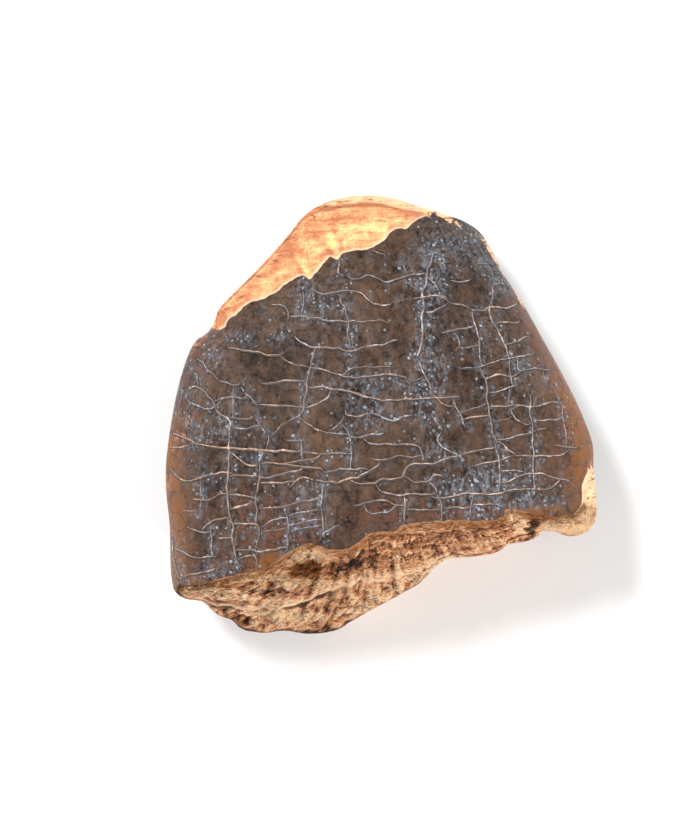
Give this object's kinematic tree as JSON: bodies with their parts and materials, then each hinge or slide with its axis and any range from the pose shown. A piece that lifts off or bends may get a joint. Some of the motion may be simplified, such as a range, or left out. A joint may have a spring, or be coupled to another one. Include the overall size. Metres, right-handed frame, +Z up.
{
  "type": "fossil tooth crown",
  "caption": "Broken fossil crown of a broad, spoon-shaped dinosaur tooth, with crazed dark enamel, a worn facet at the tip and a layered break at the root end.",
  "frame": {"origin": "centre of the bounding box, on the plane that the crown rests on", "axes": "+X across the crown, +Y along it towards its tip, +Z up, out of the bulging enamelled face"},
  "size_m": [0.0272, 0.028, 0.012],
  "materials": {
    "fossil_tooth": "glossy crazed grey-brown enamel over amber and tan dentine, which is dull and layered where it is broken"
  },
  "bodies": {
    "root": {"tooth_crown": "fossil_tooth"}
  },
  "joints": []
}
